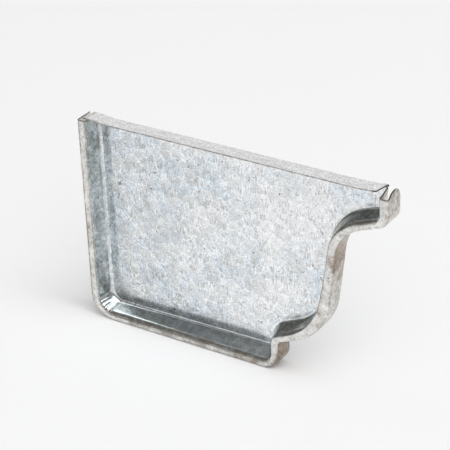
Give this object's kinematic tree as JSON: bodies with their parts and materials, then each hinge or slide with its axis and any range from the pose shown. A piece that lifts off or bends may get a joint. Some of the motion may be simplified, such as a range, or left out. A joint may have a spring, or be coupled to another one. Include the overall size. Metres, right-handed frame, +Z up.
{
  "type": "gutter end cap",
  "caption": "Left-hand end cap for an ogee-fronted rain gutter: flat sheet web, folded channel rim round back, base and front, and a stiffening flange along the top.",
  "frame": {"origin": "bottom centre of the cap's box, on the face it stands on", "axes": "+X to the gutter's front lip, +Y into the gutter, +Z up"},
  "size_m": [0.1316, 0.0082, 0.087],
  "materials": {
    "galvanised_sheet": "hot-dip galvanised steel with a fine spangle, satin, bare cut edges"
  },
  "bodies": {
    "root": {"end_cap": "galvanised_sheet"}
  },
  "joints": []
}
